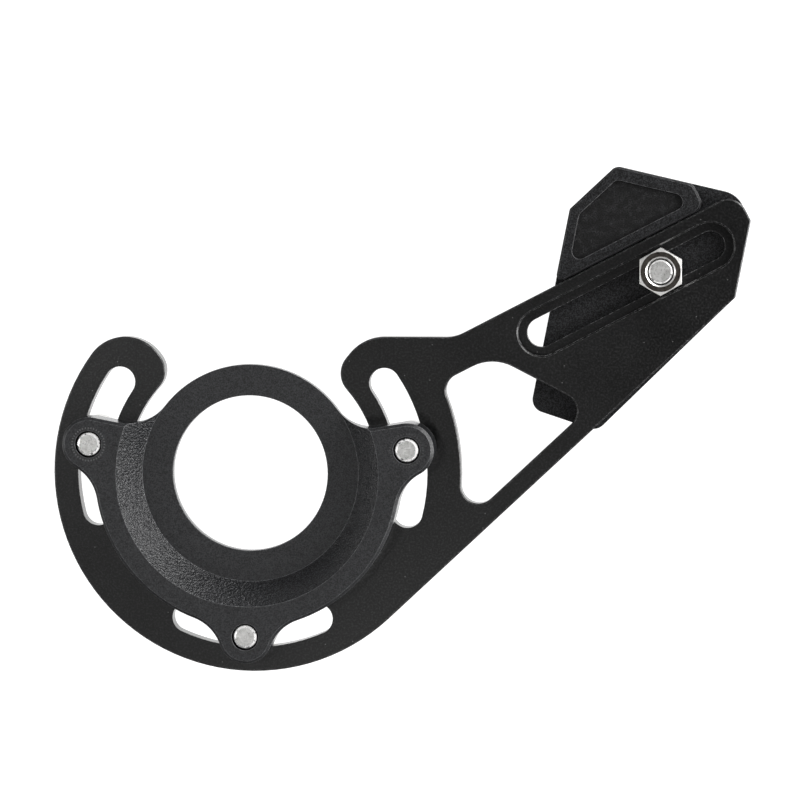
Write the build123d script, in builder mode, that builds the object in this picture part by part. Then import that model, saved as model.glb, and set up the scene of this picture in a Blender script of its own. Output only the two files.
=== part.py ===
"""A bicycle chain guide: a bottom bracket adapter, a slotted back plate and a chain cage on its arm.

Millimetres. The origin is on the bottom bracket's axis, where the adapter's seat meets the plate.
+Z points inboard, towards the bicycle's frame. X and Y lie in the plate.
"""
import os
from math import atan2, cos, degrees, dist, radians, sin, sqrt

from build123d import *

# M6 threads, shared by every bolt, with a tapered tip
thread_diameter = 6.0
thread_clearance = 0.05
tip_length = 1.5
tip_step = 0.35

# Bottom bracket adapter
bore_diameter = 35.4
ring_thickness = 2.5
ring_front = 1.5
cone_run = 5.1
flange_land = 4.9
flange_inset = 2.0
flange_height = 8.0
ear_radius = 6.1
ear_top_fillet = 9.5
ear_root_fillet = 10.0
adapter_chamfer = 0.65
ring_chamfer = 0.1

# Where the adapter's ears and the plate's arc slots stand round the axis
bolt_circle_radius = 36.75
first_ear_angle = 270.0
ear_spacing = 100.0
clock_angle = -0.7

# Mounting bolts, heads on the outboard side
mount_head_diameter = 11.3
mount_head_height = 5.5
mount_socket_across = 5.0
mount_socket_depth = 3.0
mount_tip_chamfer = 0.55
head_chamfer = 0.5

# Back plate: the hook round the adapter. Its middle is a little off the axis, within its slots' play
plate_x, plate_y = 0.25, 0.05
plate_thickness = 4.0
plate_chamfer = 0.25
rim_wall = 5.55
hook_wall = 4.3
hook_top_wall = 7.05
hook_middle_angle = 89.5
hook_half_angle = 38.9
hook_end_skew = 0.7
hook_top_fillet = 10.0
clock_slot_inset = 0.175
clock_slot_width = 6.95
clock_slot_half_span = 24.1

# Back plate: the guide's slot along the arm, recessed for its nut
arm_angle = 27.4
guide_slot_drop = 1.85
guide_slot_start = 73.5
guide_slot_end = 116.25
guide_slot_width = 6.6
recess_width = 10.65
recess_depth = 1.8

# Back plate: the arm round that slot
arm_rail = 2.7
arm_nose_wall = 5.3
arm_end_wall = 2.45
arm_end_angle = 79.0
arm_lower_angle = 43.2
shoulder_fillet = 8.2
arm_corner_fillet = 4.3
arm_tip_fillet = 0.8
arm_heel_fillet = 1.2

# Back plate: the triangular window in the arm
window_wall = 7.8
window_bar = 4.25
window_rail = 7.7
window_slot_wall = 4.5
window_slope = -27.3
window_fillet_share = 0.3
window_apex_share = 0.75

# Chain cage: where it stands in the slot. Its edges are a direction from the arm and a distance from the bolt
guide_travel = 12.45
cage_nose_angle = 90.0
cage_nose_reach = 22.95
cage_end_angle = 51.6
cage_end_reach = 17.45
cage_top_angle = 139.5
cage_top_reach = 20.67
cage_slope_angle = 195.7
cage_slope_reach = 24.3
cage_mouth_angle = 231.5
cage_mouth_reach = 22.95
cage_foot_angle = 314.2
cage_foot_reach = 39.05
cage_lower_angle = 17.05
cage_lower_reach = 15.9

# Chain cage: the fillets of its corners, and what both halves share
cage_nose_fillet = 6.0
cage_top_fillet = 2.0
cage_foot_fillet = 3.0
cage_small_fillet = 1.1
guide_base_thickness = 4.0
guide_hole_diameter = 6.4
chain_gap = 11.5
lead_in = 1.0

# Chain cage: the inner half's pad, which runs along the arm's top edge
pad_height = 3.0
pad_gap = 0.25
pad_end_height = 5.9
pad_end_fillet = 2.4
pad_start_fillet = 1.2
pad_border = 2.3
pad_top_border = 2.9
pad_end_border = 3.6
pad_pocket_depth = 0.8
pad_pocket_fillet = 1.8
pad_chamfer = 0.35

# Chain cage: the outer half
outer_inset = 0.8
outer_fillet = 2.6
outer_thickness = 4.0
outer_chamfer = 1.2
bridge_thickness = 3.5
channel_depth = 18.0
boss_radius = 7.0
hub_radius = 8.5
hub_height = 1.5

# Guide bolt, its washer and its nut
washer_diameter = 12.0
washer_thickness = 1.6
guide_head_diameter = 10.5
guide_head_height = 3.3
guide_head_rim = 0.8
guide_head_flat = 5.2
guide_socket_across = 4.0
guide_socket_depth = 2.0
guide_tip_chamfer = 0.3
guide_tip_sink = 0.25
nut_across_flats = 9.4
nut_height = 5.0
nut_countersink = 0.35

thread_radius = thread_diameter / 2
tapped_radius = thread_radius + thread_clearance
tip_radius = thread_radius - tip_step
flange_radius = bolt_circle_radius - flange_inset
cone_radius = flange_radius - flange_land
ring_radius = cone_radius - cone_run
clock_slot_radius = bolt_circle_radius - clock_slot_inset
rim_radius = clock_slot_radius + clock_slot_width / 2 + rim_wall
opening_radius = clock_slot_radius - clock_slot_width / 2 - hook_wall
window_radius = bolt_circle_radius + clock_slot_width / 2 + window_wall
arm_top = recess_width / 2 + arm_rail - guide_slot_drop
guide_reach = guide_slot_end - guide_travel
plate_back = -plate_thickness
recess_floor = -recess_depth
guide_base_back = plate_back - guide_base_thickness
outer_front = guide_base_back - chain_gap
outer_back = outer_front - outer_thickness
hub_back = outer_back - hub_height
washer_back = hub_back - washer_thickness
nut_top = recess_floor + nut_height

STAND = (Align.CENTER, Align.CENTER, Align.MIN)


def polar(radius, angle):
    """The point at a radius and an angle round the bottom bracket's axis."""
    return (radius * cos(radians(angle)), radius * sin(radians(angle)))


def plate_polar(radius, angle):
    """The point at a radius and an angle round the middle of the plate's hook."""
    x, y = polar(radius, angle)
    return (plate_x + x, plate_y + y)


def edge_point(direction, distance, along):
    """A point on a straight edge that passes the axis at a distance, on the edge's left if positive."""
    foot_x, foot_y = polar(distance, direction - 90)
    step_x, step_y = polar(along, direction)
    return (foot_x + step_x, foot_y + step_y)


def crossing(first, second):
    """The point where two straight edges meet, each given as its direction and its distance."""
    turn = radians(second[0] - first[0])
    along = (second[1] - first[1] * cos(turn)) / sin(turn)
    return edge_point(first[0], first[1], along)


def reach(direction, point):
    """How far a point lies from the axis, square to an edge's direction."""
    side_x, side_y = polar(1, direction - 90)
    return side_x * point[0] + side_y * point[1]


def circle_crossing(edge, radius):
    """The point where a straight edge, going outward, leaves a circle round the axis."""
    return edge_point(edge[0], edge[1], sqrt(radius**2 - edge[1] ** 2))


def corner(sketch, point):
    """The sketch's vertex nearest to a point."""
    return sketch.vertices().sort_by_distance(Vector(*point))[0]


def guide_plane(height):
    """The plane across the guide bolt at a height, with its X along the arm."""
    x, y = edge_point(arm_angle, guide_slot_drop, guide_reach)
    return Plane(origin=(x, y, height), x_dir=(*polar(1, arm_angle), 0), z_dir=(0, 0, 1))


slot_angles = [first_ear_angle + turn for turn in (-ear_spacing, 0, ear_spacing)]
ear_angles = [angle + clock_angle for angle in slot_angles]
ear_centres = [polar(bolt_circle_radius, angle) for angle in ear_angles]
left_ear, right_ear = ear_angles[0], ear_angles[-1]

# Bottom bracket adapter: a dished ring with three tapped ears
with BuildPart() as adapter:
    with BuildSketch() as adapter_outline:
        Circle(flange_radius)
        with BuildLine():
            sky = 2 * flange_radius
            Polyline((0, 0), polar(sky, right_ear), (sky, sky), (-sky, sky), polar(sky, left_ear), close=True)
        make_face(mode=Mode.SUBTRACT)
        Circle(ring_radius)
        with Locations(*ear_centres):
            Circle(ear_radius)
        Rectangle(bolt_circle_radius, ear_radius, rotation=right_ear, align=(Align.MIN, Align.MIN))
        Rectangle(bolt_circle_radius, ear_radius, rotation=left_ear, align=(Align.MIN, Align.MAX))
        outline_corners = adapter_outline.vertices()
        top_corners = [v for v in outline_corners if abs(Vector(v.X, v.Y).length - ring_radius) < 0.01]
        root_corners = [v for v in outline_corners if abs(Vector(v.X, v.Y).length - flange_radius) < 0.01]
        fillet(top_corners, ear_top_fillet)
        root_corners = [corner(adapter_outline, (v.X, v.Y)) for v in root_corners]
        fillet(root_corners, ear_root_fillet)
    extrude(amount=flange_height)
    chamfer(adapter.faces().sort_by(Axis.Z)[-1].edges(), adapter_chamfer)
    cone_slope = (cone_radius - ring_radius) / (flange_height - ring_front)
    with BuildSketch(Plane.XZ):
        with BuildLine():
            above = 2 * flange_height
            Polyline(
                (0, ring_front),
                (ring_radius, ring_front),
                (ring_radius + cone_slope * (above - ring_front), above),
                (0, above),
                close=True,
            )
        make_face()
    revolve(axis=Axis.Z, mode=Mode.SUBTRACT)
    with BuildSketch(Plane.XY.offset(ring_front - ring_thickness)):
        Circle(ring_radius)
    extrude(amount=ring_thickness)
    Hole(bore_diameter / 2)
    chamfer(adapter.edges().filter_by(GeomType.CIRCLE).filter_by(
        lambda edge: abs(edge.radius - bore_diameter / 2) < 0.01), ring_chamfer)
    with Locations(*[(x, y, flange_height) for x, y in ear_centres]):
        Hole(tapped_radius)
adapter.part.label = "bb_adapter"

# Mounting bolts: socket heads under the plate, thread ends flush with the ears
with BuildPart() as mount_bolts:
    with BuildSketch(Plane.XY.offset(plate_back - mount_head_height)):
        with Locations(*ear_centres):
            Circle(mount_head_diameter / 2)
    extrude(amount=mount_head_height)
    chamfer(mount_bolts.edges().group_by(Axis.Z)[0], head_chamfer)
    with BuildSketch(Plane.XY.offset(plate_back)):
        with Locations(*ear_centres):
            Circle(thread_radius)
    extrude(amount=flange_height - tip_length - plate_back)
    with Locations(*[(x, y, flange_height - tip_length) for x, y in ear_centres]):
        Cone(thread_radius, tip_radius, tip_length - mount_tip_chamfer, align=STAND)
    with Locations(*[(x, y, flange_height - mount_tip_chamfer) for x, y in ear_centres]):
        Cone(tip_radius, tip_radius - mount_tip_chamfer, mount_tip_chamfer, align=STAND)
    with BuildSketch(Plane.XY.offset(plate_back - mount_head_height)):
        with Locations(*ear_centres):
            RegularPolygon(mount_socket_across / 2, 6, major_radius=False)
    extrude(amount=mount_socket_depth, mode=Mode.SUBTRACT)
mount_bolts.part.label = "mounting_bolts"

# Back plate: the hook and the arm in one outline, with its slots and its window
hook_right, hook_left = hook_middle_angle - hook_half_angle, hook_middle_angle + hook_half_angle
slot_peak = plate_polar(clock_slot_radius, slot_angles[-1] + clock_slot_half_span)[1] + clock_slot_width / 2
hook_top = slot_peak + hook_top_wall
hook_width = rim_radius - opening_radius
hook_outer_fillet = 0.57 * hook_width
hook_inner_fillet = 0.33 * hook_width
top_edge = (0, -hook_top)
arm_edge = (arm_angle, -arm_top)
slot_start = edge_point(arm_angle, guide_slot_drop, guide_slot_start)
slot_end = edge_point(arm_angle, guide_slot_drop, guide_slot_end)
nose_edge = (arm_angle + 90, guide_slot_end + recess_width / 2 + arm_nose_wall)
end_edge = (arm_end_angle, reach(arm_end_angle, slot_end) + recess_width / 2 + arm_end_wall)
lower_reach = rim_radius + reach(arm_lower_angle, (plate_x, plate_y))
lower_edge = (arm_lower_angle, lower_reach)
window_lower = (arm_lower_angle, lower_reach - window_bar)
window_left = (arm_angle, window_rail - arm_top)
window_right = (window_slope, reach(window_slope, slot_start) + recess_width / 2 + window_slot_wall)
hook_corner = crossing((hook_right, reach(hook_right, (plate_x, plate_y))), top_edge)
shoulder = crossing(top_edge, arm_edge)
arm_corner = crossing(arm_edge, nose_edge)
arm_tip = crossing(nose_edge, end_edge)
arm_heel = crossing(end_edge, lower_edge)
window_foot = circle_crossing(window_lower, window_radius)
window_top = circle_crossing(window_left, window_radius)
window_mid_angle = degrees(atan2(window_foot[1], window_foot[0]) + atan2(window_top[1], window_top[0])) / 2
window_apex = crossing(window_left, window_right)
window_nose = crossing(window_right, window_lower)
window_side = dist(window_top, window_apex)

with BuildPart() as plate:
    with BuildSketch(Plane.XY.offset(plate_back)) as plate_outline:
        with BuildLine():
            rim_start = plate_polar(rim_radius, arm_lower_angle - 90)
            rim_end = plate_polar(rim_radius, hook_left - hook_end_skew)
            opening_start = plate_polar(opening_radius, hook_left + hook_end_skew)
            opening_end = plate_polar(opening_radius, hook_right)
            Polyline(opening_end, hook_corner, shoulder, arm_corner, arm_tip, arm_heel, rim_start)
            ThreePointArc(rim_start, plate_polar(rim_radius, 180 + arm_angle), rim_end)
            Line(rim_end, opening_start)
            ThreePointArc(opening_start, plate_polar(opening_radius, 270), opening_end)
        make_face()
        for point, radius in (
            (rim_end, hook_outer_fillet),
            (opening_start, hook_inner_fillet),
            (opening_end, hook_inner_fillet),
            (hook_corner, hook_top_fillet),
            (shoulder, shoulder_fillet),
            (arm_corner, arm_corner_fillet),
            (arm_tip, arm_tip_fillet),
            (arm_heel, arm_heel_fillet),
        ):
            fillet(corner(plate_outline, point), radius)
    extrude(amount=plate_thickness)
    with BuildSketch(Plane.XY.offset(plate_back)) as window:
        with BuildLine():
            Polyline(window_foot, window_nose, window_apex, window_top)
            ThreePointArc(window_top, polar(window_radius, window_mid_angle), window_foot)
        make_face()
        for point in (window_foot, window_nose, window_top):
            fillet(corner(window, point), window_fillet_share * window_side)
        fillet(corner(window, window_apex), window_apex_share * window_side)
    extrude(amount=plate_thickness, mode=Mode.SUBTRACT)
    guide_slot_length = guide_slot_end - guide_slot_start
    guide_slot_middle = edge_point(arm_angle, guide_slot_drop, (guide_slot_start + guide_slot_end) / 2)
    with BuildSketch(Plane.XY.offset(recess_floor)):
        with Locations(guide_slot_middle):
            SlotCenterToCenter(guide_slot_length, recess_width, rotation=arm_angle)
    extrude(amount=recess_depth, mode=Mode.SUBTRACT)
    chamfer(plate.edges().group_by(Axis.Z)[-1], plate_chamfer)
    chamfer(plate.edges().group_by(Axis.Z)[0], plate_chamfer)
    with BuildSketch(Plane.XY.offset(plate_back)):
        with Locations(guide_slot_middle):
            SlotCenterToCenter(guide_slot_length, guide_slot_width, rotation=arm_angle)
        for angle in slot_angles:
            with BuildLine(mode=Mode.PRIVATE) as middle:
                CenterArc((plate_x, plate_y), clock_slot_radius, angle - clock_slot_half_span, 2 * clock_slot_half_span)
            SlotArc(middle.wires()[0], clock_slot_width)
    extrude(amount=plate_thickness, mode=Mode.SUBTRACT)
plate.part.label = "back_plate"

# Outline that both halves of the chain cage share
cage_nose = (cage_nose_angle, cage_nose_reach)
cage_end = (cage_end_angle, cage_end_reach)
cage_top = (cage_top_angle, cage_top_reach)
cage_slope = (cage_slope_angle, cage_slope_reach)
cage_mouth = (cage_mouth_angle, cage_mouth_reach)
cage_foot = (cage_foot_angle, cage_foot_reach)
cage_lower = (cage_lower_angle, cage_lower_reach)
cage_corners = {
    crossing(cage_end, cage_nose): cage_small_fillet,
    crossing(cage_nose, cage_top): cage_nose_fillet,
    crossing(cage_top, cage_slope): cage_top_fillet,
    crossing(cage_slope, cage_mouth): cage_small_fillet,
    crossing(cage_mouth, cage_foot): cage_foot_fillet,
    crossing(cage_foot, cage_lower): cage_foot_fillet,
    crossing(cage_lower, cage_end): cage_small_fillet,
}
with BuildSketch() as sharp_outline:
    with BuildLine():
        Polyline(*cage_corners, close=True)
    make_face()
with BuildSketch() as guide_outline:
    add(sharp_outline.sketch)
    for point, radius in cage_corners.items():
        fillet(corner(guide_outline, point), radius)

# Chain cage, inner half: a base behind the plate and a pad beside the arm's top edge
pad_edge = arm_top + guide_slot_drop + pad_gap
pad_end, _ = crossing(cage_top, (180, pad_edge + pad_end_height))
pocket_edges = [
    (cage_top_angle, cage_top_reach - pad_top_border),
    (cage_slope_angle, cage_slope_reach - pad_border),
    (cage_mouth_angle, cage_mouth_reach - pad_border),
    (0, -pad_edge - pad_border),
    (90, pad_end - pad_end_border),
]
pocket_corners = [crossing(edge, pocket_edges[place - 1]) for place, edge in enumerate(pocket_edges)]
span = 2 * max(abs(value) for point in cage_corners for value in point)
with BuildPart() as inner_half:
    with BuildSketch(guide_plane(guide_base_back)):
        add(guide_outline.sketch)
    extrude(amount=guide_base_thickness)
    chamfer(inner_half.edges().group_by(Axis.Z)[0], lead_in)
    with BuildSketch(guide_plane(plate_back)) as pad:
        add(guide_outline.sketch)
        with Locations((pad_end, pad_edge)):
            Rectangle(span, span, align=(Align.MAX, Align.MIN), mode=Mode.INTERSECT)
        fillet(pad.vertices().sort_by(Axis.X)[-2:], pad_end_fillet)
        fillet(pad.vertices().sort_by(Axis.X)[0], pad_start_fillet)
    extrude(amount=pad_height)
    chamfer(inner_half.edges().group_by(Axis.Z)[-1], pad_chamfer)
    with BuildSketch(guide_plane(plate_back + pad_height)) as pocket:
        with BuildLine():
            Polyline(*pocket_corners, close=True)
        make_face()
        fillet(pocket.vertices(), pad_pocket_fillet)
    extrude(amount=-pad_pocket_depth, mode=Mode.SUBTRACT)
    with Locations(guide_plane(plate_back)):
        Hole(guide_hole_diameter / 2)
inner_half.part.label = "guide_inner_half"

# Chain cage, outer half: a cheek, the bridge that sets the chain gap and a boss round the bolt
bridge_start = polar(cage_mouth_reach - channel_depth, cage_mouth_angle - 90)
with BuildPart() as outer_half:
    with BuildSketch(guide_plane(outer_back)) as cheek:
        add(sharp_outline.sketch)
        offset(amount=-outer_inset, kind=Kind.INTERSECTION, mode=Mode.REPLACE)
        fillet(cheek.vertices(), outer_fillet)
    extrude(amount=outer_thickness)
    chamfer(outer_half.edges().group_by(Axis.Z)[0], outer_chamfer)
    chamfer(outer_half.edges().group_by(Axis.Z)[-1], lead_in)
    with BuildSketch(guide_plane(outer_front - lead_in)):
        add(sharp_outline.sketch)
        offset(amount=-outer_inset - lead_in, kind=Kind.INTERSECTION, mode=Mode.REPLACE)
        with BuildSketch(mode=Mode.PRIVATE) as hollow:
            add(sharp_outline.sketch)
            offset(amount=-outer_inset - lead_in - bridge_thickness, kind=Kind.INTERSECTION, mode=Mode.REPLACE)
        add(hollow.sketch, mode=Mode.SUBTRACT)
        with Locations(bridge_start):
            Rectangle(span, 2 * span, rotation=cage_mouth_angle + 90,
                      align=(Align.MIN, Align.CENTER), mode=Mode.INTERSECT)
        Circle(boss_radius)
    extrude(amount=chain_gap + lead_in)
    with BuildSketch(guide_plane(hub_back)):
        Circle(hub_radius)
    extrude(amount=hub_height)
    with Locations(guide_plane(outer_back)):
        Hole(guide_hole_diameter / 2)
outer_half.part.label = "guide_outer_half"

# Washer under the guide bolt's head
with BuildPart() as washer:
    with BuildSketch(guide_plane(washer_back)):
        Circle(washer_diameter / 2)
        Circle(guide_hole_diameter / 2, mode=Mode.SUBTRACT)
    extrude(amount=washer_thickness)
washer.part.label = "guide_washer"

# Guide bolt: a button head outboard, its tip just inside the nut
bolt_x, bolt_y, _ = guide_plane(0).origin
tip_base = nut_top - guide_tip_sink - tip_length
flat_radius = guide_head_flat / 2
dome_run = guide_head_diameter / 2 - flat_radius
dome_rise = guide_head_height - guide_head_rim
dome = [
    (flat_radius + dome_run * cos(radians(turn)), -guide_head_rim - dome_rise * sin(radians(turn)))
    for turn in (0, 30, 60, 90)
]
with BuildPart() as guide_bolt:
    with BuildSketch(guide_plane(washer_back)):
        Circle(thread_radius)
    extrude(amount=tip_base - washer_back)
    with Locations((bolt_x, bolt_y, tip_base)):
        Cone(thread_radius, tip_radius, tip_length - guide_tip_chamfer, align=STAND)
    with Locations((bolt_x, bolt_y, tip_base + tip_length - guide_tip_chamfer)):
        Cone(tip_radius, tip_radius - guide_tip_chamfer, guide_tip_chamfer, align=STAND)
    with BuildSketch(Plane((bolt_x, bolt_y, washer_back), x_dir=(1, 0, 0), z_dir=(0, -1, 0))):
        with BuildLine():
            Polyline((0, 0), (guide_head_diameter / 2, 0), *dome, (0, -guide_head_height), close=True)
        make_face()
    revolve(axis=Axis((bolt_x, bolt_y, 0), (0, 0, 1)))
    with BuildSketch(guide_plane(washer_back - guide_head_height)):
        RegularPolygon(guide_socket_across / 2, 6, major_radius=False)
    extrude(amount=guide_socket_depth, mode=Mode.SUBTRACT)
guide_bolt.part.label = "guide_bolt"

# Hex nut in the slot's recess, its corners chamfered as on a turned nut
nut_corner_radius = nut_across_flats / 2 / cos(radians(30))
nut_face_radius = 0.478 * nut_across_flats
nut_corner_drop = (nut_corner_radius - nut_face_radius) * sin(radians(30))
with BuildPart() as nut:
    with BuildSketch(Plane((bolt_x, bolt_y, recess_floor))):
        RegularPolygon(nut_across_flats / 2, 6, major_radius=False, rotation=30)
    extrude(amount=nut_height)
    with BuildSketch(Plane((bolt_x, bolt_y, recess_floor), x_dir=(1, 0, 0), z_dir=(0, -1, 0))):
        with BuildLine():
            Polyline(
                (0, 0),
                (nut_face_radius, 0),
                (nut_corner_radius, nut_corner_drop),
                (nut_corner_radius, nut_height - nut_corner_drop),
                (nut_face_radius, nut_height),
                (0, nut_height),
                close=True,
            )
        make_face()
    revolve(axis=Axis((bolt_x, bolt_y, 0), (0, 0, 1)), mode=Mode.INTERSECT)
    with Locations((bolt_x, bolt_y, nut_top)):
        CounterSinkHole(tapped_radius, tapped_radius + nut_countersink, counter_sink_angle=90)
nut.part.label = "guide_nut"

os.makedirs("parts", exist_ok=True)
export_step(adapter.part, "parts/bb_adapter.step")
export_step(mount_bolts.part, "parts/mounting_bolts.step")
export_step(plate.part, "parts/back_plate.step")
export_step(inner_half.part, "parts/guide_inner_half.step")
export_step(outer_half.part, "parts/guide_outer_half.step")
export_step(washer.part, "parts/guide_washer.step")
export_step(guide_bolt.part, "parts/guide_bolt.step")
export_step(nut.part, "parts/guide_nut.step")
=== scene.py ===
"""Studio picture of a bicycle chain guide, seen from its inboard side as it lies on a white table."""
import math

import bpy
from mathutils import Matrix, Vector


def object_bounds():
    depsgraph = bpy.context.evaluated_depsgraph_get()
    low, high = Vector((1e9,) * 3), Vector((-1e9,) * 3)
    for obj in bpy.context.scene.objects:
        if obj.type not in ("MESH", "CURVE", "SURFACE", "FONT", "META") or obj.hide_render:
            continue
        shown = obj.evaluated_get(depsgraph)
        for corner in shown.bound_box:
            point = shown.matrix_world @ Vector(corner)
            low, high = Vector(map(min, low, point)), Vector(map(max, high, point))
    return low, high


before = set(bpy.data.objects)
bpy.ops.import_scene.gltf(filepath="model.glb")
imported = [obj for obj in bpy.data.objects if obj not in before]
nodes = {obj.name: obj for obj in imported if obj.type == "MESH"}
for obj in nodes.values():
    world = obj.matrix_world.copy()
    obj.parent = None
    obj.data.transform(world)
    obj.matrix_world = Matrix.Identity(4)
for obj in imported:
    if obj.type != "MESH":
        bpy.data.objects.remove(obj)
cad_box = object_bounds()

# Camera, fitted to the photograph. Its focal length is in pixels of an 800 pixel wide image, and its offset
# from the part's origin is in millimetres, along its own right, up and back.
IMAGE_WIDTH = 800
FOCAL_PIXELS = 4000.0
CAMERA_TILT = Vector((0.0895, 0.069, 1.0))
CAMERA_OFFSET = (33.94, 16.52, 911.2)
SENSOR_WIDTH = 36.0
MILLIMETRE = 0.001

# From here on lengths are in metres and colours are linear
CLIP_START = 0.01
CENTRE = (0.034, 0.012, 0.0)
FLOOR_SIZE = 6.0
FLOOR_GAP = 0.0005
GLOW_FULL = 0.10
GLOW_END = 0.12

# Softboxes in rings: each one's turn round the part in degrees, and its power in watts
LOW_SOFTBOXES = {0: 2.35, 22: 0.50, 45: 1.75, 65: 0.25, 180: 0.75}
LOW_RADIUS = 0.5
LOW_HEIGHT = 0.12
LOW_SIZE = (0.20, 0.30)
TENT_SOFTBOXES = {0: 0.65, 45: 0.62, 90: 0.48, 135: 0.46, 180: 0.50, 225: 0.60, 270: 0.55, 315: 0.60}
TENT_RADIUS = 0.6
TENT_HEIGHT = 0.55
TENT_SIZE = (0.45, 0.35)

# Small softboxes at the ceiling: each one's place over the table, and its power in watts
CEILING_SOFTBOXES = {
    "left": (-0.42, 0.05, 0.100),
    "back": (-0.27, 0.05, 0.365),
    "front": (-0.03, -0.31, 0.497),
}
CEILING_HEIGHT = 1.10
CEILING_SIZE = (0.12, 0.12)

# Most values of a noise lie between these two
NOISE_LOW = 0.3
NOISE_HIGH = 0.7

# Sharp edges: cosines of the rounding where the lighter edge colour, partly wear and partly painted
# highlight, is full and where it ends, and the patches it breaks into
BEVEL_SAMPLES = 6
EDGE_COSINES = (0.90, 0.99)
WEAR_AND_HIGHLIGHT_PATCH = 0.0007
WEAR_AND_HIGHLIGHT_FULL = 0.60

# A speck fades out between these shares of its radius
SPECK_FADE = (0.6, 1.4)

# Marks of toothed washers on two ears: each one's centre and strength
EAR_MARKS = ((-0.03611, 0.00682, 1.0), (0.03627, 0.00594, 0.35))
MARK_RADIUS = 0.00370
MARK_TEETH = 36
MARK_HALF_WIDTH = 0.00012
MARK_FADE = 0.00014
TOOTH_COSINES = (0.1, 0.7)

# The pad's chamfer along the arm leans this way, and gets painted light where it lies in shade beside the
# arm's edge
RAIL_SIDE = (0.3254, -0.6277, 0.7071)
RAIL_COSINES = (0.97, 0.99)
POCKET_FLOOR = -0.0018

# Two pairs of a grain's dark and light shade: a surface drifts from the first pair to the second
PLATE_SHADES = (((0.0008, 0.0008, 0.0008), (0.0165, 0.0165, 0.0170)),
                ((0.0012, 0.0012, 0.0012), (0.0205, 0.0205, 0.0211)))
ADAPTER_SHADES = (((0.0045, 0.0046, 0.0050), (0.0330, 0.0337, 0.0363)),
                  ((0.0055, 0.0056, 0.0061), (0.0375, 0.0383, 0.0413)))
POCKET_SHADES = (((0.0001, 0.0001, 0.0001), (0.0105, 0.0105, 0.0111)),
                 ((0.0010, 0.0010, 0.0011), (0.0330, 0.0330, 0.0351)))

# One pair of a dark and a light shade
CAGE_SHADES = ((0.0010, 0.0010, 0.0011), (0.0290, 0.0294, 0.0318))
BOLT_SHADES = ((0.70, 0.695, 0.675), (0.95, 0.945, 0.93))
NUT_SHADES = ((0.84, 0.83, 0.81), (0.93, 0.92, 0.90))
NUT_FACE_SHADES = ((0.115, 0.103, 0.090), (0.165, 0.150, 0.134))
FLOOR_SHADES = ((0.24, 0.24, 0.24), (0.26, 0.26, 0.26))

# Colours of wear, marks and dust, and of painted highlight and painted light
# Lighter edge colours: partly wear, partly painted highlight on the edges
PLATE_WEAR_AND_HIGHLIGHT = (0.260, 0.260, 0.264)
ADAPTER_WEAR_AND_HIGHLIGHT = (0.230, 0.232, 0.240)
CAGE_WEAR_AND_HIGHLIGHT = (0.180, 0.180, 0.185)
# Painted light that lifts the shade on the pad's chamfer along the arm
RAIL_PAINTED_LIGHT = (0.110, 0.110, 0.114)
EAR_MARK = (0.120, 0.120, 0.122)
# Dust on the plate, and the painted highlight line at the foot of the adapter's walls
DUST_AND_FOOT_HIGHLIGHT = (0.12, 0.12, 0.12)
# Painted highlight on the bolts' chamfers
BOLT_CHAMFER_HIGHLIGHT = (0.98, 0.975, 0.965)
BOLT_SCUFF = (0.30, 0.295, 0.28)
BOLT_NICK = (0.12, 0.12, 0.12)


def add_camera():
    """The camera at the photograph's viewing angle."""
    back = CAMERA_TILT.normalized()
    right = Vector((0, 1, 0)).cross(back).normalized()
    up = back.cross(right)
    data = bpy.data.cameras.new("camera")
    data.sensor_width = SENSOR_WIDTH
    data.lens = SENSOR_WIDTH * FOCAL_PIXELS / IMAGE_WIDTH
    data.clip_start = CLIP_START
    camera = bpy.data.objects.new("camera", data)
    place = Matrix((right, up, back)).transposed().to_4x4()
    offset = CAMERA_OFFSET[0] * right + CAMERA_OFFSET[1] * up + CAMERA_OFFSET[2] * back
    place.translation = MILLIMETRE * offset
    camera.matrix_world = place
    bpy.context.scene.collection.objects.link(camera)
    bpy.context.scene.camera = camera


def add_softbox(name, location, size, watts):
    """A soft rectangular light that faces the part."""
    data = bpy.data.lights.new(name, "AREA")
    data.shape = "RECTANGLE"
    data.size, data.size_y = size
    data.energy = watts
    light = bpy.data.objects.new(name, data)
    light.location = location
    light.rotation_mode = "QUATERNION"
    light.rotation_quaternion = (Vector(CENTRE) - Vector(location)).to_track_quat("-Z", "Y")
    bpy.context.scene.collection.objects.link(light)


def add_ring(name, softboxes, radius, height, size):
    """Softboxes that stand in a ring round the part."""
    for turn, watts in softboxes.items():
        angle = math.radians(turn)
        place = (CENTRE[0] + radius * math.cos(angle), CENTRE[1] + radius * math.sin(angle), height)
        add_softbox(f"{name}_{turn}", place, size, watts)


def add_world():
    """White behind the part, with all the light on it from the softboxes and the table."""
    world = bpy.data.worlds.new("studio")
    bpy.context.scene.world = world
    world.use_nodes = True
    tree = world.node_tree
    background = tree.nodes["Background"]
    background.inputs["Color"].default_value = (1, 1, 1, 1)
    camera_ray = tree.nodes.new("ShaderNodeLightPath").outputs["Is Camera Ray"]
    tree.links.new(camera_ray, background.inputs["Strength"])


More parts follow.
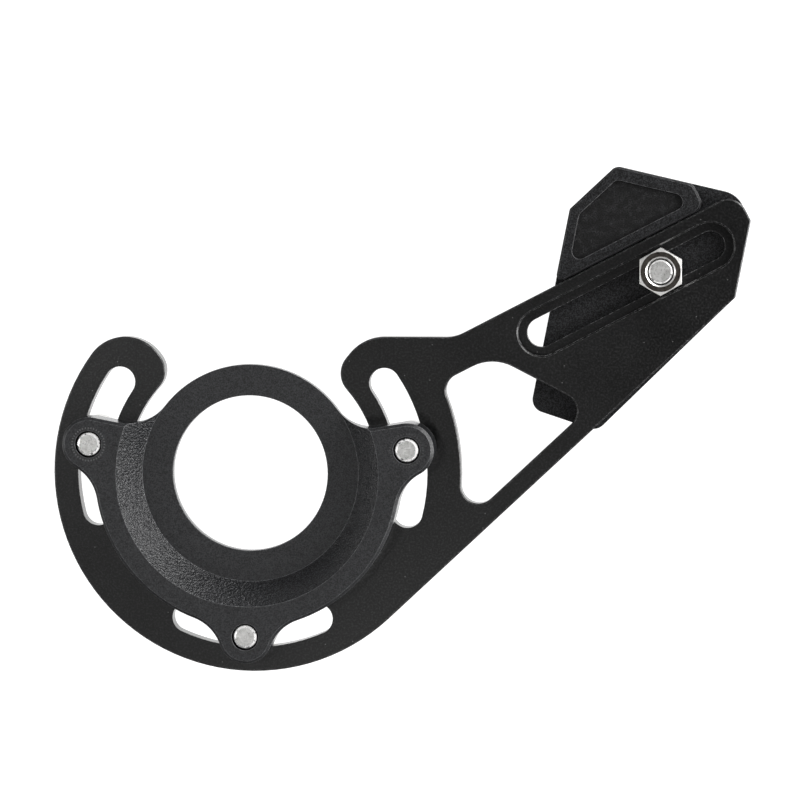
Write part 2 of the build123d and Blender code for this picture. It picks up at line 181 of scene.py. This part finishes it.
class Look:
    """A material's node tree, with short ways to add and join its nodes."""

    def __init__(self, name):
        self.material = bpy.data.materials.new(name)
        self.material.use_nodes = True
        self.tree = self.material.node_tree
        self.shader = self.tree.nodes["Principled BSDF"]
        self.place = self.add("ShaderNodeTexCoord").outputs["Object"]
        self.normal = self.add("ShaderNodeNewGeometry").outputs["Normal"]

    def add(self, kind, **values):
        """A new node of a kind, with some of its values set."""
        node = self.tree.nodes.new(kind)
        for key, value in values.items():
            setattr(node, key, value)
        return node

    def join(self, source, target):
        """Joins one node's output to another's input."""
        self.tree.links.new(source, target)

    def paint(self, socket, source):
        """Joins a value to one of the shader's sockets."""
        self.join(source, self.shader.inputs[socket])

    def noise(self, size, detail=3.0, rough=0.5, swirl=0.0):
        """Noise whose features are about a size in metres."""
        node = self.add("ShaderNodeTexNoise")
        node.inputs["Scale"].default_value = 1.0 / size
        node.inputs["Detail"].default_value = detail
        node.inputs["Roughness"].default_value = rough
        node.inputs["Distortion"].default_value = swirl
        self.join(self.place, node.inputs["Vector"])
        return node.outputs["Fac"]

    def along(self, vector, axis):
        """A vector's measure along one axis."""
        node = self.add("ShaderNodeSeparateXYZ")
        self.join(vector, node.inputs["Vector"])
        return node.outputs[axis]

    def compute(self, operation, first, second=None):
        """One step of arithmetic on one or two values, each a socket or a number."""
        node = self.add("ShaderNodeMath", operation=operation)
        for place, value in enumerate((first, second)):
            if isinstance(value, (int, float)):
                node.inputs[place].default_value = value
            elif value is not None:
                self.join(value, node.inputs[place])
        return node.outputs["Value"]

    def times(self, first, second):
        """The product of two values."""
        return self.compute("MULTIPLY", first, second)

    def ramp(self, source, low, high, start=NOISE_LOW, end=NOISE_HIGH):
        """A value that goes from low to high while its source goes from start to end."""
        node = self.add("ShaderNodeMapRange")
        node.inputs["From Min"].default_value = start
        node.inputs["From Max"].default_value = end
        node.inputs["To Min"].default_value = low
        node.inputs["To Max"].default_value = high
        self.join(source, node.inputs["Value"])
        return node.outputs["Result"]

    def rise(self, source, start=NOISE_LOW, end=NOISE_HIGH):
        """A mask that rises from nothing to one."""
        return self.ramp(source, 0, 1, start, end)

    def fall(self, source, start, end):
        """A mask that falls from one to nothing."""
        return self.ramp(source, 1, 0, start, end)

    def between(self, mask, outside, inside):
        """A value that is one number outside a mask, and another inside it."""
        return self.ramp(mask, outside, inside, 0, 1)

    def band(self, source, middle, half, soft):
        """A mask of a band of values."""
        away = self.compute("ABSOLUTE", self.compute("SUBTRACT", source, middle))
        return self.fall(away, half, half + soft)

    def blend(self, factor, first, second):
        """A mix of two colours by a factor, each a socket or a colour."""
        node = self.add("ShaderNodeMix", data_type="RGBA")
        self.join(factor, node.inputs["Factor"])
        for socket, value in (("A", first), ("B", second)):
            if isinstance(value, tuple):
                node.inputs[socket].default_value = (*value, 1)
            else:
                self.join(value, node.inputs[socket])
        return node.outputs["Result"]

    def drift(self, tone, cloud, pairs):
        """A grain between two shades, which drifts from one pair of shades to another."""
        first, second = (self.blend(tone, dark, light) for dark, light in pairs)
        return self.blend(cloud, first, second)

    def rounded(self, radius):
        """The surface's normal, with its sharp edges rounded off."""
        node = self.add("ShaderNodeBevel", samples=BEVEL_SAMPLES)
        node.inputs["Radius"].default_value = radius
        return node.outputs["Normal"]

    def cosine(self, first, second):
        """The cosine between two directions, the second a socket or a vector."""
        node = self.add("ShaderNodeVectorMath", operation="DOT_PRODUCT")
        self.join(first, node.inputs[0])
        if isinstance(second, tuple):
            node.inputs[1].default_value = second
        else:
            self.join(second, node.inputs[1])
        return node.outputs["Value"]

    def edge_wear_and_highlight(self, radius, least, start):
        """A mask of lighter edges within a radius of the sharp edges, where rounding turns the normal:
        broken patches that are partly wear and partly painted highlight.
        """
        edge = self.fall(self.cosine(self.rounded(radius), self.normal), *EDGE_COSINES)
        return self.times(edge, self.ramp(self.noise(WEAR_AND_HIGHLIGHT_PATCH, detail=2), least, 1, start, WEAR_AND_HIGHLIGHT_FULL))

    def bump(self, height, depth, strength, under):
        """A bump of a depth in metres, on top of another normal."""
        node = self.add("ShaderNodeBump")
        node.inputs["Distance"].default_value = depth
        if isinstance(strength, (int, float)):
            node.inputs["Strength"].default_value = strength
        else:
            self.join(strength, node.inputs["Strength"])
        self.join(height, node.inputs["Height"])
        self.join(under, node.inputs["Normal"])
        return node.outputs["Normal"]

    def specks(self, size, share, radius):
        """A mask of few round specks, on the faces across Z: a share of cells of a size holds one."""
        node = self.add("ShaderNodeTexVoronoi", voronoi_dimensions="2D")
        node.inputs["Scale"].default_value = 1.0 / size
        self.join(self.place, node.inputs["Vector"])
        start, end = (fade * radius / size for fade in SPECK_FADE)
        small = self.fall(node.outputs["Distance"], start, end)
        chance = self.along(node.outputs["Color"], "X")
        return self.times(small, self.compute("GREATER_THAN", chance, 1 - share))

    def tooth_ring(self, centre):
        """A mask of small marks in a ring round a point, as a toothed washer leaves."""
        x = self.compute("SUBTRACT", self.along(self.place, "X"), centre[0])
        y = self.compute("SUBTRACT", self.along(self.place, "Y"), centre[1])
        away = self.compute("SQRT", self.compute("ADD", self.times(x, x), self.times(y, y)))
        turn = self.times(self.compute("ARCTAN2", y, x), MARK_TEETH)
        ring = self.band(away, MARK_RADIUS, MARK_HALF_WIDTH, MARK_FADE)
        return self.times(ring, self.rise(self.compute("COSINE", turn), *TOOTH_COSINES))

    def crowned(self, normal, share):
        """A normal that leans towards +Z by a share, as on a chamfer that is rounded over."""
        lean = self.add("ShaderNodeCombineXYZ")
        self.join(share, lean.inputs["Z"])
        total = self.add("ShaderNodeVectorMath", operation="ADD")
        self.join(normal, total.inputs[0])
        self.join(lean.outputs["Vector"], total.inputs[1])
        unit = self.add("ShaderNodeVectorMath", operation="NORMALIZE")
        self.join(total.outputs["Vector"], unit.inputs[0])
        return unit.outputs["Vector"]


def anodised_black():
    """Satin black anodised plate: a fine grain, smooth milled sides, edges painted lighter as part wear and
    part painted highlight, and a little dust.
    """
    look = Look("anodised_black")
    grain = look.noise(size=0.00045)
    cloud = look.noise(size=0.012)
    flat = look.compute("ABSOLUTE", look.along(look.normal, "Z"))
    colour = look.drift(look.rise(grain, start=0.46, end=0.72), look.rise(cloud), PLATE_SHADES)
    # Edges painted lighter: partly wear, partly painted highlight
    colour = look.blend(look.edge_wear_and_highlight(radius=0.00024, least=0.15, start=0.46), colour, PLATE_WEAR_AND_HIGHLIGHT)
    colour = look.blend(look.specks(size=0.006, share=0.25, radius=0.00012), colour, DUST_AND_FOOT_HIGHLIGHT)
    look.paint("Base Color", colour)
    milled = look.ramp(flat, low=0.55, high=1.0, start=0.2, end=0.6)
    look.paint("Roughness", look.times(look.ramp(cloud, low=0.285, high=0.325), milled))
    soft = look.rounded(radius=0.00012)
    look.paint("Normal", look.bump(grain, depth=0.00003, strength=0.8, under=soft))
    return look.material


def blasted_black():
    """Bead blasted and black anodised aluminium, whose grains sparkle where light grazes the cone."""
    look = Look("blasted_black")
    upward = look.along(look.normal, "Z")
    cone = look.band(upward, middle=0.60, half=0.05, soft=0.04)
    side = look.fall(look.compute("ABSOLUTE", upward), start=0.15, end=0.35)
    # Painted highlight: a thin lighter line at the foot of the side walls, where they meet the plate
    foot_highlight = look.times(look.fall(look.along(look.place, "Z"), start=0.0003, end=0.0004), side)
    grain = look.noise(size=0.00028, detail=2)
    cloud = look.noise(size=0.009)
    colour = look.drift(look.rise(grain, start=0.36, end=0.64), look.rise(cloud), ADAPTER_SHADES)
    # Edges painted lighter: partly wear, partly painted highlight
    colour = look.blend(look.edge_wear_and_highlight(radius=0.00024, least=0.45, start=0.42), colour, ADAPTER_WEAR_AND_HIGHLIGHT)
    # The painted highlight at the foot of the walls
    colour = look.blend(foot_highlight, colour, DUST_AND_FOOT_HIGHLIGHT)
    for x, y, strength in EAR_MARKS:
        colour = look.blend(look.times(look.tooth_ring((x, y)), strength), colour, EAR_MARK)
    look.paint("Base Color", colour)
    rough = look.between(cone, outside=0.42, inside=0.13)
    smoother = look.times(side, 0.22)
    look.paint("Roughness", look.compute("SUBTRACT", rough, smoother))
    calm = look.between(side, outside=1.0, inside=0.3)
    coarse_strength = look.times(look.between(cone, outside=0.25, inside=1.0), calm)
    fine_strength = look.times(look.between(cone, outside=0.7, inside=1.0), calm)
    lumps = look.noise(size=0.00056, detail=2)
    soft = look.rounded(radius=0.00016)
    coarse = look.bump(lumps, depth=0.00036, strength=coarse_strength, under=soft)
    look.paint("Normal", look.bump(grain, depth=0.00007, strength=fine_strength, under=coarse))
    return look.material


def cage_plastic():
    """Black moulded nylon with a spark eroded texture, duller on the floor of the pad's pocket, with
    painted light on the shaded chamfer along the arm.
    """
    look = Look("cage_plastic")
    grain = look.noise(size=0.00030, detail=3, rough=0.6)
    tone = look.rise(grain, start=0.42, end=0.62)
    mottle = look.rise(look.noise(size=0.0016, detail=3), start=0.46, end=0.72)
    at_floor = look.band(look.along(look.place, "Z"), middle=POCKET_FLOOR, half=0.00012, soft=0.0001)
    pocket = look.times(at_floor, look.rise(look.along(look.normal, "Z"), start=0.9, end=0.95))
    plain = look.blend(tone, *CAGE_SHADES)
    colour = look.blend(pocket, plain, look.drift(tone, mottle, POCKET_SHADES))
    own_normal = look.add("ShaderNodeTexCoord").outputs["Normal"]
    # Painted light: the pad's chamfer along the arm, in shade beside the plate's edge, is painted lighter
    rail_painted_light = look.times(look.rise(look.cosine(own_normal, RAIL_SIDE), *RAIL_COSINES), 0.5)
    colour = look.blend(rail_painted_light, colour, RAIL_PAINTED_LIGHT)
    # Edges painted lighter: partly wear, partly painted highlight
    colour = look.blend(look.edge_wear_and_highlight(radius=0.00022, least=0.25, start=0.42), colour, CAGE_WEAR_AND_HIGHLIGHT)
    look.paint("Base Color", colour)
    look.shader.inputs["Specular IOR Level"].default_value = 0.25
    duller = look.times(pocket, 0.10)
    look.paint("Roughness", look.compute("ADD", look.ramp(grain, low=0.40, high=0.56), duller))
    soft = look.rounded(radius=0.00014)
    look.paint("Normal", look.bump(grain, depth=0.00010, strength=0.9, under=soft))
    return look.material


def bolt_steel():
    """Zinc plated bolt steel: a scuffed end face, and a chamfer with nicks in it, painted near white as a
    painted highlight.
    """
    look = Look("bolt_steel")
    upward = look.along(look.normal, "Z")
    chamfer = look.band(upward, middle=0.70, half=0.12, soft=0.05)
    end_face = look.rise(upward, start=0.95, end=0.98)
    cloud = look.noise(size=0.0016, detail=3, swirl=1.5)
    colour = look.blend(look.rise(cloud), *BOLT_SHADES)
    # Painted highlight: the chamfer's colour is lifted to near white
    colour = look.blend(chamfer, colour, BOLT_CHAMFER_HIGHLIGHT)
    scratches = look.noise(size=0.0008, detail=3, swirl=2.0)
    scuffs = look.times(end_face, look.ramp(scratches, low=0, high=0.5, start=0.54, end=0.66))
    colour = look.blend(scuffs, colour, BOLT_SCUFF)
    nicks = look.times(chamfer, look.rise(look.noise(size=0.0009, detail=1), start=0.61, end=0.68))
    look.paint("Base Color", look.blend(nicks, colour, BOLT_NICK))
    smoother = look.times(chamfer, 0.16)
    look.paint("Roughness", look.compute("SUBTRACT", look.ramp(cloud, low=0.40, high=0.48), smoother))
    crown = look.crowned(look.rounded(radius=0.0001), share=look.times(chamfer, 0.8))
    look.paint("Normal", look.bump(cloud, depth=0.00002, strength=0.5, under=crown))
    look.shader.inputs["Metallic"].default_value = 1.0
    return look.material


def nut_steel():
    """Bright nut with a darker turned face."""
    look = Look("nut_steel")
    upward = look.along(look.normal, "Z")
    face = look.rise(upward, start=0.97, end=0.995)
    chamfer = look.band(upward, middle=0.75, half=0.2, soft=0.02)
    bright = look.blend(look.rise(look.noise(size=0.0015, detail=4)), *NUT_SHADES)
    turned = look.blend(look.rise(look.noise(size=0.0009, detail=4)), *NUT_FACE_SHADES)
    look.paint("Base Color", look.blend(face, bright, turned))
    look.paint("Roughness", look.ramp(look.noise(size=0.0009), low=0.26, high=0.38))
    crown = look.crowned(look.rounded(radius=0.0001), share=look.times(chamfer, 0.5))
    look.paint("Normal", look.bump(look.noise(size=0.0006), depth=0.00001, strength=0.4, under=crown))
    look.shader.inputs["Metallic"].default_value = 1.0
    return look.material


def floor_white():
    """The white table, which is bright to the camera and lights the part from below only near it."""
    look = Look("floor_white")
    look.paint("Base Color", look.blend(look.rise(look.noise(size=0.2)), *FLOOR_SHADES))
    look.shader.inputs["Roughness"].default_value = 0.8
    look.shader.inputs["Emission Color"].default_value = (1, 1, 1, 1)
    away = look.add("ShaderNodeVectorMath", operation="LENGTH")
    look.join(look.place, away.inputs[0])
    glow = look.fall(away.outputs["Value"], GLOW_FULL, GLOW_END)
    camera_ray = look.add("ShaderNodeLightPath").outputs["Is Camera Ray"]
    look.paint("Emission Strength", look.compute("MAXIMUM", glow, camera_ray))
    return look.material


FINISHES = {
    "bb_adapter": blasted_black(),
    "back_plate": anodised_black(),
    "guide_inner_half": cage_plastic(),
    "mounting_bolts": bolt_steel(),
    "guide_nut": nut_steel(),
}
FINISHES["guide_outer_half"] = FINISHES["guide_inner_half"]
FINISHES["guide_bolt"] = FINISHES["mounting_bolts"]
FINISHES["guide_washer"] = FINISHES["mounting_bolts"]
for node, material in FINISHES.items():
    nodes[node].data.materials.clear()
    nodes[node].data.materials.append(material)

add_camera()
floor_height = cad_box[0].z - FLOOR_GAP
bpy.ops.mesh.primitive_plane_add(size=FLOOR_SIZE, location=(CENTRE[0], CENTRE[1], floor_height))
floor = bpy.context.object
floor.name = "floor"
floor.data.materials.append(floor_white())

add_ring("low", LOW_SOFTBOXES, LOW_RADIUS, LOW_HEIGHT, LOW_SIZE)
add_ring("tent", TENT_SOFTBOXES, TENT_RADIUS, TENT_HEIGHT, TENT_SIZE)
for name, (x, y, watts) in CEILING_SOFTBOXES.items():
    add_softbox(f"ceiling_{name}", (x, y, CEILING_HEIGHT), CEILING_SIZE, watts)
add_world()
bpy.context.scene.view_settings.view_transform = "Standard"
